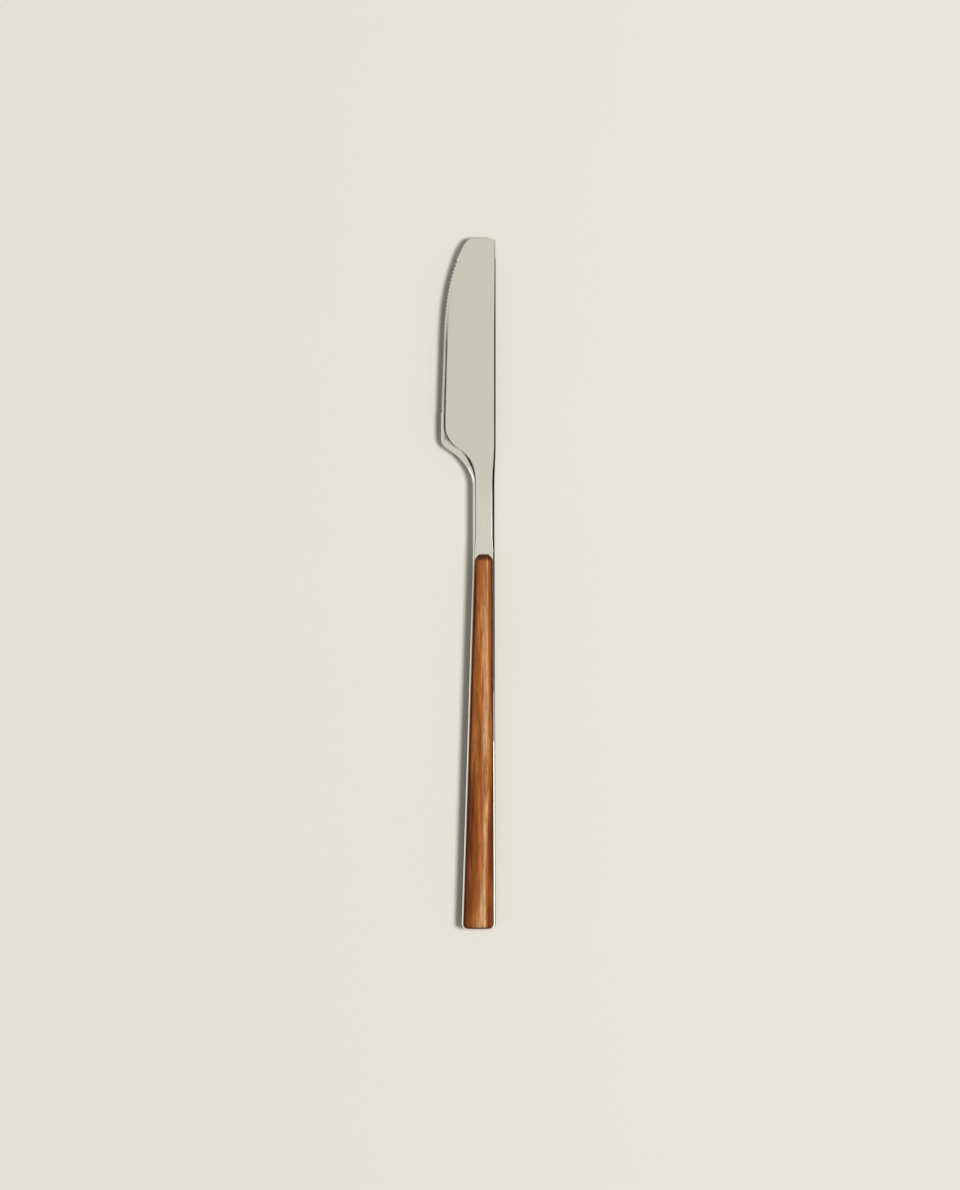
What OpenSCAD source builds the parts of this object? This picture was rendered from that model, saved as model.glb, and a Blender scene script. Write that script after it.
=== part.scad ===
// Butter knife: blade, neck and full tang in one steel blank, with a rounded wooden scale on each side of the tang.
// It lies on its side: Y runs from the butt to the tip, the cutting edge faces -X and the straight back faces +X.
// The origin is on the surface that the knife lies on, under the middle of its length and width.

/* [Blade plan] */
// Width of the square-cut tip, measured from the back
tip_w = 5.9; // [4:0.1:8]
// Radius of the small corner between the tip and the back
tip_back_r = 0.5; // [0.2:0.05:1]
// Length of the round corner between the tip and the cutting edge
tip_corner_l = 1.65; // [1:0.05:2.5]
// Width that this round corner adds
tip_corner_w = 2.35; // [1.5:0.05:3]
// Length of the curved front half of the cutting edge
belly_l = 24.5; // [15:0.5:35]
// Length of the nearly straight rear half of the cutting edge
edge_l = 23; // [15:0.5:35]
// Width that the rear half still gains towards the heel
edge_lean_w = 0.63; // [0.2:0.01:1.5]
// Greatest width of the blade, just ahead of the heel
blade_w = 14.2; // [12:0.1:18]
// Length of the rounded heel
heel_l = 5.6; // [4:0.1:8]
// Length of the hollow curve from the heel to the neck
throat_l = 9.3; // [7:0.1:14]

/* [Blade section] */
// Thickness of the blade at its back, above the heel
blade_back_t = 1.9; // [1.5:0.05:2.4]
// Thickness of the blade at its back, at the tip
blade_tip_t = 1.4; // [1.2:0.05:2]
// Thickness that the faces have come down to at the widest point of the edge
blade_front_t = 1; // [0.8:0.05:1.4]
// Thickness left at the blunt cutting edge
edge_t = 0.3; // [0.15:0.05:0.5]
// Width of the ground bevel along the cutting edge
bevel_w = 1.2; // [0.6:0.05:1.6]
// Width of the bevel where it sweeps round the heel
heel_bevel_w = 3.4; // [1.5:0.1:4.5]
// Rounding of the back of the blade
spine_round = 0.55; // [0.2:0.05:0.6]
// Rounding of the square-cut tip
tip_round = 0.4; // [0.2:0.05:0.6]

/* [Teeth] */
// Distance from the tip to the first gullet
teeth_start = 6; // [4:0.5:15]
// Length of the toothed stretch of the edge
teeth_l = 39; // [10:1:40]
// Distance from one gullet to the next
tooth_pitch = 0.94; // [0.8:0.02:2]
// Depth of a gullet
tooth_depth = 0.3; // [0.1:0.02:0.36]
// Length of plain edge left between two gullets
tooth_land = 0.16; // [0.1:0.02:0.4]

/* [Neck and tang] */
// Thickness of the neck and tang
tang_t = 2.4; // [2:0.1:3.2]
// Length of the neck between the throat and the scales
neck_l = 17.75; // [8:0.25:30]
// Width from the line of the back to the cutting side of the neck
neck_w = 5.95; // [5:0.05:8]
// Depth by which the back is drawn in at the neck
neck_back_w = 0.3; // [0:0.05:0.6]
// Rounding of the edges of the neck
neck_round = 0.8; // [0.4:0.05:0.95]
// Length of the handle, from the nose of the scales to the butt
handle_l = 98.2; // [80:0.2:120]
// Width half way along the handle
handle_mid_w = 7.45; // [6:0.05:10]
// Width of the handle at the butt
butt_w = 9; // [7:0.1:12]
// Radius of the two corners of the butt
butt_corner_r = 1.6; // [0.8:0.1:2.5]
// Rounding of the edges of the tang and butt
edge_round = 0.4; // [0.3:0.05:0.8]

/* [Scales] */
// Thickness of a wooden scale
scale_t = 2.3; // [2:0.1:3.5]
// Flat land along the crown of a scale
crown_w = 1.1; // [0.4:0.1:2]
// Flat strip of tang left bare between its rounding and the scale
rim_land = 0.05; // [0.05:0.05:0.5]
// Length of the round nose of a scale
nose_l = 1.8; // [1:0.1:4]
// Length of the rounding at the butt end of a scale
scale_end_l = 1.2; // [0.6:0.1:2.5]
// Thickness of the adhesive under a scale
bond_t = 0.1; // [0.05:0.05:0.3]

/* [Pins] */
// Number of blind pins across the tang
pin_count = 3; // [2:1:5]
// Diameter of a pin
pin_d = 2; // [1.5:0.1:2.5]
// Depth that a pin reaches into each scale
pin_bite = 1.3; // [0.8:0.1:1.5]
// Distance from each end of a scale to the nearest pin
pin_inset = 14; // [8:1:25]
// Room for adhesive round a pin and at its ends
pin_clearance = 0.05; // [0.03:0.01:0.1]

/* [Hidden] */
// Amount by which every cut runs past the solid that it cuts
overrun = 0.5;
// Facets of true rounds, and steps of the curves along and across the knife
$fn = 48;
round_steps = 5;
butt_steps = 6;
handle_steps = 8;
curve_steps = 10;
belly_steps = 16;
crown_steps = 8;

// Share of the step from blade to neck that the heel's corner takes up
heel_drop_share = 0.25;
// Slope of the outline where heel and throat meet, as a share of the throat's mean slope
heel_slope_share = 2.5;
// Slope of the outline where belly and tip corner meet, as a share of the corner's mean slope
tip_slope_share = 0.4;
// Pulls of each curve at its rear and front end, as shares of its length
throat_pull_shares = [0.37, 0.23];
heel_pull_shares = [0.23, 0.62];
edge_pull_shares = [0.3, 0.33];
belly_pull_shares = [0.31, 0.3];
tip_pull_shares = [0.65, 0.33];
// Share of the neck's length over which its edges grow from the rounding of the tang to their own
neck_round_share = 0.25;
// Share of the heel's length by which the steel has come down to the thickness of the blade
ground_end_share = 0.35;
// Share of the thickness left at the tip and butt, where their rounding ends
end_depth_share = 0.55;
// Shares of a scale's width and thickness left at the flat of its nose and of its butt end
nose_w_share = 0.53;
nose_t_share = 0.3;
scale_end_w_share = 0.75;
scale_end_t_share = 0.6;
// Fullness of a section's corners: 2 is a true round, 1 a straight chamfer
round_fullness = 2;
bevel_fullness = 1.35;

// Places along the knife, from the butt
throat_y = handle_l + neck_l;
neck_y = handle_l + neck_round_share * neck_l;
heel_y = throat_y + throat_l;
edge_y = heel_y + heel_l;
belly_y = edge_y + edge_l;
corner_y = belly_y + belly_l;
total_l = corner_y + tip_corner_l;
// Widths of the outline where its curves meet
heel_w = blade_w - heel_drop_share * (blade_w - neck_w);
belly_w = blade_w - edge_lean_w;
corner_w = tip_w + tip_corner_w;
// Slopes of the outline where its curves meet
heel_slope = heel_slope_share * (heel_w - neck_w) / throat_l;
edge_slope = edge_lean_w / edge_l;
tip_slope = tip_slope_share * tip_corner_w / tip_corner_l;
// Seats of the scales on the tang
rim_w = edge_round + rim_land;
seat_h = tang_t / 2 + bond_t;
rest_h = seat_h + scale_t;
span_w = max(blade_w, butt_w, handle_mid_w);
pin_hole_d = pin_d + 2 * pin_clearance;
pin_l = 2 * (seat_h + pin_bite);
// Round gullet that leaves the plain edge between its neighbours
gullet_w = tooth_pitch - tooth_land;
gullet_r = (gullet_w * gullet_w / 4 + tooth_depth * tooth_depth) / (2 * tooth_depth);

function mix(a, b, t) = a + (b - a) * t;
function part_way(a, b, v) = max(0, min(1, (v - a) / (b - a)));
function eased(t) = t * t * (3 - 2 * t);
function rounded(s, l) = s >= l ? 1 : sqrt(1 - pow(1 - s / l, 2));
function domed(s, l) = s >= l ? 1 : sin(90 * s / l);
function through(a, b, c, t) = a * (1 - t) * (1 - 2 * t) + 4 * b * t * (1 - t) + c * t * (2 * t - 1);

// Points of the cubic curve from a to b that is pulled towards two other points, without a itself
function pulled(a, from, to, b, steps) =
    [for (i = [1:steps])
        let (t = i / steps)
        let (middle = mix(from, to, t))
        mix(mix(mix(a, from, t), middle, t), mix(middle, mix(to, b, t), t), t)];

// Curve of the outline that leaves a and arrives at b along the given slopes, in [y, width]
function curve(a, b, slopes, pulls, steps) =
    let (l = b.x - a.x)
    pulled(a, a + pulls[0] * l * [1, slopes[0]], b - pulls[1] * l * [1, slopes[1]], b, steps);

// Round corner of the outline that leaves a along a slope and arrives at b square across the knife
function corner(a, b, slope, pulls, steps) =
    pulled(a, a + pulls[0] * (b.x - a.x) * [1, slope], b + [0, pulls[1] * (a.y - b.y)], b, steps);

// Cutting side of the outline as [y, width from the back], from the butt to the tip
outline = concat(
    [for (i = [0:handle_steps]) let (t = i / handle_steps)
        [handle_l * t, through(butt_w, handle_mid_w, neck_w, t)]],
    [[neck_y, neck_w], [throat_y, neck_w]],
    curve([throat_y, neck_w], [heel_y, heel_w], [0, heel_slope], throat_pull_shares, curve_steps),
    curve([heel_y, heel_w], [edge_y, blade_w], [heel_slope, 0], heel_pull_shares, curve_steps),
    curve([edge_y, blade_w], [belly_y, belly_w], [0, -edge_slope], edge_pull_shares, curve_steps),
    curve([belly_y, belly_w], [corner_y, corner_w], [-edge_slope, -tip_slope], belly_pull_shares, belly_steps),
    corner([corner_y, corner_w], [total_l, tip_w], -tip_slope, tip_pull_shares, curve_steps)
);
function width_at(y) = lookup(y, outline);

// Share of the way from the neck's plain section to the blade's ground one
function ground(y) = eased(part_way(throat_y, mix(heel_y, edge_y, ground_end_share), y));

// Depth of the back behind its straight line: nothing at the butt and along the blade, most at the neck
function back_in(y) = neck_back_w * (y < handle_l ? y / handle_l : 1 - ground(y));

// Stations of the blank: the rounded butt first, then the outline's own points
stations = concat(
    [for (i = [0:butt_steps]) let (y = butt_corner_r * (1 - cos(90 * i / butt_steps))) [y, width_at(y)]],
    [for (p = outline) if (p.x > butt_corner_r) p]
);

function blade_half(x, y) =
    mix(blade_back_t, blade_tip_t, (y - edge_y) / (total_l - edge_y)) / 2
    + (blade_back_t - blade_front_t) / 2 * x / blade_w;
function face_half(x, y) = mix(tang_t / 2, blade_half(x, y), ground(y));
function plain_round(y) = mix(edge_round, neck_round, part_way(handle_l, neck_y, y));
function bevel_at(y) =
    y < heel_y
    ? mix(plain_round(y), heel_bevel_w, eased(part_way(throat_y, heel_y, y)))
    : mix(heel_bevel_w, bevel_w, eased(part_way(heel_y, edge_y, y)));
function end_depth(s, l) = mix(end_depth_share, 1, rounded(s, l));

// Section across the blank: bevel on the cutting side, flat faces, round back
function blank_section(y, w) =
    let (inset = butt_corner_r * (1 - rounded(y, butt_corner_r)))
    let (left = inset - w)
    let (right = -inset - back_in(y) - tip_back_r * (1 - rounded(total_l - y, tip_back_r)))
    let (bevel = bevel_at(y))
    let (back = mix(plain_round(y), spine_round, ground(y)))
    let (edge_half = mix(tang_t / 2 - plain_round(y), edge_t / 2, ground(y)))
    let (power = 2 / mix(round_fullness, bevel_fullness, ground(y)))
    let (depth = end_depth(y, edge_round) * end_depth(total_l - y, tip_round))
    let (cutting_side = [for (i = [0:round_steps]) let (a = 90 * i / round_steps)
        [left + bevel * (1 - pow(cos(a), power)),
         mix(edge_half, face_half(left + bevel, y), pow(sin(a), power))]])
    let (back_side = [for (i = [round_steps:-1:0]) let (a = 90 * i / round_steps)
        [right - back * (1 - cos(a)), face_half(right - back, y) - back * (1 - sin(a))]])
    let (upper = concat(cutting_side, back_side))
    concat(
        [for (p = upper) [p.x, y, depth * p.y]],
        [for (i = [len(upper) - 1:-1:0]) [upper[i].x, y, -depth * upper[i].y]]
    );

// Both sides of a scale on the tang, drawn in at its nose and at its butt end
function scale_narrowing(y) =
    mix(nose_w_share, 1, domed(handle_l - y, nose_l)) * mix(scale_end_w_share, 1, rounded(y - rim_w, scale_end_l));
function scale_lowering(y) =
    mix(nose_t_share, 1, domed(handle_l - y, nose_l)) * mix(scale_end_t_share, 1, rounded(y - rim_w, scale_end_l));
function scale_middle(y) = -(width_at(y) + back_in(y)) / 2;
function scale_half(y) = ((width_at(y) - back_in(y)) / 2 - rim_w) * scale_narrowing(y);

// Stations of a scale: its rounded butt end, its body, its round nose
scale_stations = concat(
    [for (i = [0:round_steps]) rim_w + scale_end_l * (1 - cos(90 * i / round_steps))],
    [for (i = [1:handle_steps]) mix(rim_w + scale_end_l, handle_l - nose_l, i / handle_steps)],
    [for (i = [1:round_steps]) mix(handle_l - nose_l, handle_l, i / round_steps)]
);

// Section across a scale: a round flank on each side of the flat land on its crown
function scale_section(y) =
    let (land = crown_w / 2 * scale_narrowing(y))
    let (flank = [for (i = [0:crown_steps]) let (a = 90 * i / crown_steps)
        [land + (scale_half(y) - land) * cos(a), scale_t * scale_lowering(y) * sin(a)]])
    concat(
        [for (p = flank) [scale_middle(y) - p.x, y, seat_h + p.y]],
        [for (i = [crown_steps:-1:0]) [scale_middle(y) + flank[i].x, y, seat_h + flank[i].y]]
    );

pin_places = [for (i = [0:pin_count - 1])
    let (y = mix(rim_w + pin_inset, handle_l - pin_inset, i / (pin_count - 1)))
    [scale_middle(y), y]];
gullet_places = [for (s = [0:tooth_pitch:teeth_l])
    let (y = total_l - teeth_start - s)
    [tooth_depth - gullet_r - width_at(y), y]];

// Closed skin over rings of points that follow each other along Y
module loft(rings) {
    size = len(rings[0]);
    last = len(rings) - 1;
    sides = [for (k = [0:last - 1], i = [0:size - 1])
        let (near = k * size + i)
        let (beside = k * size + (i + 1) % size)
        each [[near, near + size, beside + size], [near, beside + size, beside]]];
    butt_cap = [for (i = [0:size - 1]) i];
    tip_cap = [for (i = [size - 1:-1:0]) last * size + i];
    polyhedron([for (ring = rings) each ring], concat([butt_cap], sides, [tip_cap]), convexity = 4);
}

// Moves a piece from the blank's own axes to where the knife lies
module placed() {
    translate([span_w / 2, -total_l / 2, rest_h]) children();
}

module at_each(places) {
    for (p = places) translate(p) children();
}

module scale_solid() {
    difference() {
        loft([for (y = scale_stations) scale_section(y)]);
        at_each(pin_places)
            cylinder(d = pin_hole_d, h = seat_h + pin_bite + pin_clearance);
    }
}

module bond_solid() {
    near_side = [for (y = scale_stations) [scale_middle(y) - scale_half(y), y]];
    far_side = [for (i = [len(scale_stations) - 1:-1:0])
        let (y = scale_stations[i])
        [scale_middle(y) + scale_half(y), y]];
    translate([0, 0, tang_t / 2])
        difference() {
            linear_extrude(bond_t) polygon(concat(near_side, far_side));
            at_each(pin_places)
                translate([0, 0, -overrun]) cylinder(d = pin_hole_d, h = bond_t + 2 * overrun);
        }
}

module blade_and_tang() {
    color("#c9c6b7") placed()
        difference() {
            loft([for (s = stations) blank_section(s.x, s.y)]);
            at_each(pin_places) cylinder(d = pin_hole_d, h = tang_t + 2 * overrun, center = true);
            at_each(gullet_places) cylinder(r = gullet_r, h = blade_front_t + 2 * overrun, center = true);
        }
}

module front_scale() {
    color("#91552f") placed() scale_solid();
}

module back_scale() {
    color("#91552f") placed() mirror([0, 0, 1]) scale_solid();
}

module scale_pins() {
    color("#a9a9a4") placed() at_each(pin_places) cylinder(d = pin_d, h = pin_l, center = true);
}

module front_bond_film() {
    color("#d8c49a") placed() bond_solid();
}

module back_bond_film() {
    color("#d8c49a") placed() mirror([0, 0, 1]) bond_solid();
}

blade_and_tang();
front_scale();
back_scale();
scale_pins();
front_bond_film();
back_bond_film();
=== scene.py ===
"""Butter knife: a polished steel blade, neck and full tang between two oiled wooden scales.

The smooth pieces are built from the knife's own sizes, in millimetres and in the axes of its steel blank: X is 0
on the line of the back, with the cutting edge on -X, Y is 0 at the butt and grows towards the tip, and Z is 0 half
way through the steel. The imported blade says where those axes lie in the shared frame, which is in metres.
"""

import logging
import math
from collections.abc import Mapping, Sequence
from dataclasses import dataclass, field
from enum import Enum
from typing import Any

import bmesh
import bpy
from mathutils import Matrix, Vector
from mathutils.geometry import interpolate_bezier


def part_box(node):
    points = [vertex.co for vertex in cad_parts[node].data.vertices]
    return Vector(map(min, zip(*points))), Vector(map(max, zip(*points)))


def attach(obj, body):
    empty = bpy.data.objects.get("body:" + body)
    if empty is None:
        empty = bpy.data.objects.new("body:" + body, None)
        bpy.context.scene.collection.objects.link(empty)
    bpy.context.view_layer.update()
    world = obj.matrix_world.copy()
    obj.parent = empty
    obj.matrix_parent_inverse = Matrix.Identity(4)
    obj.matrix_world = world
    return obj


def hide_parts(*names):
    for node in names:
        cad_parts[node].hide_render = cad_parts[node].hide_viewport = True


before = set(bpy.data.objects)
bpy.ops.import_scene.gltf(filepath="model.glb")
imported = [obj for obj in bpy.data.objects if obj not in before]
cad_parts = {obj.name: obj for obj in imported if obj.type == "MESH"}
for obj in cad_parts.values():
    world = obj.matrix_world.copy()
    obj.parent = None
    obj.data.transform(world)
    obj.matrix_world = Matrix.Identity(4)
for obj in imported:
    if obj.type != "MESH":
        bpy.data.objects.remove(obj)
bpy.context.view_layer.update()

LOG = logging.getLogger("butter_knife")
MM = 0.001
ROOT = "root"
# Edges that turn by more than this stay crisp when the rest of a piece is shaded smooth
CRISP_ANGLE = math.radians(40)

Ring = list[Vector]
Colour = tuple[float, float, float, float]


class Face(Enum):
    """The two sides of the tang; the value is the way that the side faces along Z."""

    FRONT = 1
    BACK = -1


def mix(a: float, b: float, share: float) -> float:
    """The value that lies a share of the way from a to b."""
    return a + (b - a) * share


def part_way(a: float, b: float, value: float) -> float:
    """How far a value lies on the way from a to b, kept between 0 and 1."""
    return max(0.0, min(1.0, (value - a) / (b - a)))


def eased(share: float) -> float:
    """A share that starts and ends gently."""
    return share * share * (3 - 2 * share)


def rounded(distance: float, length: float) -> float:
    """Height of a quarter round of the given length, at a distance from its end."""
    return 1.0 if distance >= length else math.sqrt(max(0.0, 1 - (1 - distance / length) ** 2))


def domed(distance: float, length: float) -> float:
    """Height of a slope of the given length that levels out, at a distance from its foot."""
    return 1.0 if distance >= length else math.sin(math.pi / 2 * distance / length)


def linear(hex_colour: str) -> Colour:
    """Turns an sRGB hex colour into linear red, green, blue and alpha.

    Args:
        hex_colour: six hex digits, two for each of red, green and blue.

    Returns:
        The linear colour, fully opaque.
    """
    levels = [int(hex_colour[i:i + 2], 16) / 255 for i in (0, 2, 4)]
    red, green, blue = (v / 12.92 if v <= 0.04045 else ((v + 0.055) / 1.055) ** 2.4 for v in levels)
    return red, green, blue, 1.0


def add_node(
    tree: bpy.types.NodeTree,
    kind: str,
    settings: Mapping[str, Any] | None = None,
    inputs: Mapping[str | int, Any] | None = None,
) -> bpy.types.Node:
    """Adds one node to a tree, with its settings and its inputs.

    Args:
        tree: the tree that gets the node.
        kind: the node's type name.
        settings: properties of the node.
        inputs: for each input, a value to set or another node's output to link.

    Returns:
        The new node.
    """
    node = tree.nodes.new(kind)
    for name, value in (settings or {}).items():
        setattr(node, name, value)
    for key, value in (inputs or {}).items():
        if isinstance(value, bpy.types.NodeSocket):
            tree.links.new(value, node.inputs[key])
        else:
            node.inputs[key].default_value = value
    return node


def closed_loft(name: str, rings: Sequence[Ring]) -> bpy.types.Mesh:
    """Skins rings that follow each other along the knife, and closes both ends.

    A ring runs across its section and back again, so each end closes in strips between the way out and the way back.

    Args:
        name: name of the mesh.
        rings: rings of equally many points, in metres.

    Returns:
        The closed mesh, with its faces outwards.
    """
    size = len(rings[0])
    faces = []
    for k in range(len(rings) - 1):
        for i in range(size):
            near = k * size + i
            beside = k * size + (i + 1) % size
            faces.append((near, beside, beside + size, near + size))
    for first in (0, (len(rings) - 1) * size):
        for i in range(size // 2 - 1):
            faces.append((first + i, first + i + 1, first + size - 2 - i, first + size - 1 - i))
    mesh = bpy.data.meshes.new(name)
    mesh.from_pydata([point for ring in rings for point in ring], [], faces)
    shell = bmesh.new()
    shell.from_mesh(mesh)
    bmesh.ops.recalc_face_normals(shell, faces=shell.faces[:])
    shell.to_mesh(mesh)
    shell.free()
    return mesh


@dataclass(frozen=True)
class CutRow:
    """A row of equal round cuts along a piece, each through it along Z. Lengths in metres, places in the shared frame.

    Every cut is placed from the two points where a line across the knife meets the sides of the piece.
    """

    start: float
    pitch: float
    count: int
    level: float
    across_share: float
    offset: float
    radius: float
    height: float
    facets: int = 48
    reach: float = 0.05

    def tree(self) -> bpy.types.NodeTree:
        """Builds the node tree that makes the cuts, with an input for each size.

        Returns:
            The tree, which starts and ends with the piece.
        """
        tree = bpy.data.node_groups.new("row_of_round_cuts", "GeometryNodeTree")
        kinds = {
            "Piece": "Geometry", "Start": "Float", "Pitch": "Float", "Count": "Int", "Level": "Float",
            "Across": "Float", "Offset": "Float", "Radius": "Float", "Height": "Float", "Facets": "Int",
            "Material": "Material",
        }
        for name, kind in kinds.items():
            tree.interface.new_socket(name, in_out="INPUT", socket_type=f"NodeSocket{kind}")
        tree.interface.new_socket("Piece", in_out="OUTPUT", socket_type="NodeSocketGeometry")
        given = add_node(tree, "NodeGroupInput").outputs

        first = add_node(tree, "ShaderNodeCombineXYZ", inputs={"Y": given["Start"], "Z": given["Level"]})
        step = add_node(tree, "ShaderNodeCombineXYZ", inputs={"Y": given["Pitch"]})
        line = add_node(tree, "GeometryNodeMeshLine", {"mode": "OFFSET"}, {
            "Count": given["Count"], "Start Location": first.outputs[0], "Offset": step.outputs[0]})
        place = add_node(tree, "GeometryNodeInputPosition")
        sides = []
        for way in (1, -1):
            source = add_node(tree, "ShaderNodeVectorMath", {"operation": "ADD"}, {
                0: place.outputs[0], 1: (-way * self.reach, 0, 0)})
            sides.append(add_node(tree, "GeometryNodeRaycast", inputs={
                "Target Geometry": given["Piece"], "Source Position": source.outputs[0],
                "Ray Direction": (way, 0, 0), "Ray Length": 2 * self.reach}))
        between = add_node(tree, "ShaderNodeMix", {"data_type": "VECTOR"}, {
            0: given["Across"], 4: sides[0].outputs["Hit Position"], 5: sides[1].outputs["Hit Position"]})
        shift = add_node(tree, "ShaderNodeCombineXYZ", inputs={"X": given["Offset"]})
        seat = add_node(tree, "ShaderNodeVectorMath", {"operation": "ADD"}, {
            0: between.outputs[1], 1: shift.outputs[0]})
        seats = add_node(tree, "GeometryNodeSetPosition", inputs={
            "Geometry": line.outputs[0], "Position": seat.outputs[0]})
        cutter = add_node(tree, "GeometryNodeMeshCylinder", inputs={
            "Vertices": given["Facets"], "Radius": given["Radius"], "Depth": given["Height"]})
        placed = add_node(tree, "GeometryNodeInstanceOnPoints", inputs={
            "Points": seats.outputs[0], "Instance": cutter.outputs["Mesh"]})
        cutters = add_node(tree, "GeometryNodeRealizeInstances", inputs={0: placed.outputs[0]})
        cut = add_node(tree, "GeometryNodeMeshBoolean", {"operation": "DIFFERENCE", "solver": "EXACT"}, {
            "Mesh 1": given["Piece"], "Mesh 2": cutters.outputs[0], "Self Intersection": True})
        whole = add_node(tree, "GeometryNodeRealizeInstances", inputs={0: cut.outputs[0]})
        dressed = add_node(tree, "GeometryNodeSetMaterial", inputs={
            "Geometry": whole.outputs[0], "Material": given["Material"]})
        add_node(tree, "NodeGroupOutput", inputs={0: dressed.outputs[0]})
        return tree

    def cut(self, piece: bpy.types.Object, material: bpy.types.Material) -> None:
        """Makes the cuts in a piece and leaves it as a plain mesh.

        Args:
            piece: the object to cut.
            material: the finish of the piece.
        """
        values = {
            "Start": self.start, "Pitch": self.pitch, "Count": self.count, "Level": self.level,
            "Across": self.across_share, "Offset": self.offset, "Radius": self.radius, "Height": self.height,
            "Facets": self.facets, "Material": material,
        }
        tree = self.tree()
        modifier = piece.modifiers.new("cuts", "NODES")
        modifier.node_group = tree
        for socket in tree.interface.items_tree:
            if socket.in_out == "INPUT" and socket.name in values:
                modifier[socket.identifier] = values[socket.name]
        evaluated = piece.evaluated_get(bpy.context.evaluated_depsgraph_get())
        mesh = bpy.data.meshes.new_from_object(evaluated)
        piece.modifiers.remove(modifier)
        mesh.name = piece.name
        piece.data = mesh


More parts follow.
